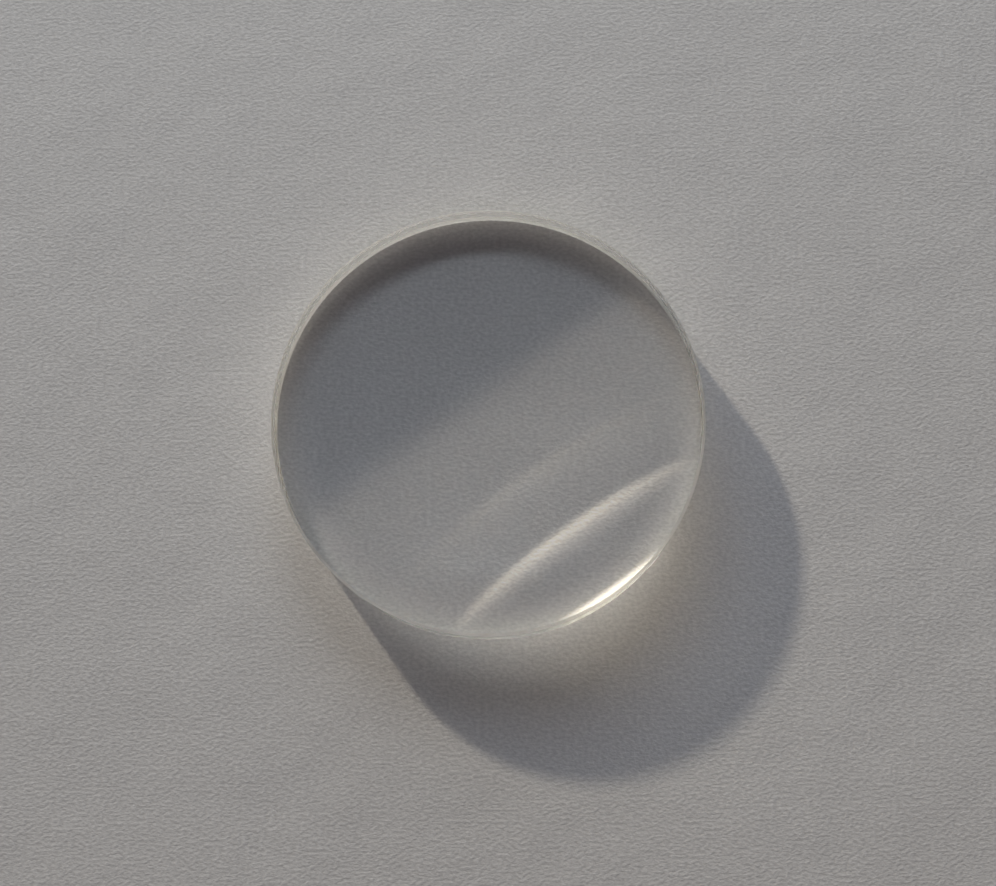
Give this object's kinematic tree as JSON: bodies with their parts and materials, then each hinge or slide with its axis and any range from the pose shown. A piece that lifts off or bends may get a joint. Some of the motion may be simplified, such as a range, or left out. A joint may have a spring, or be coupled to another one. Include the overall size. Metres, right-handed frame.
{
  "type": "hand lens glass",
  "caption": "Loose round plano-convex magnifying lens of clear glass, with one flat face, one convex face, a ground edge and small chamfers.",
  "frame": {"origin": "centre of the flat polished face, on the optical axis", "axes": "+Z along the optical axis, out of the convex face; X and Y lie in the flat face"},
  "size_m": [0.05, 0.05, 0.0072],
  "materials": {
    "glass": "clear colourless glass: flat and convex faces polished, edge and both chamfers ground matt"
  },
  "bodies": {
    "root": {"lens": "glass"}
  },
  "joints": []
}
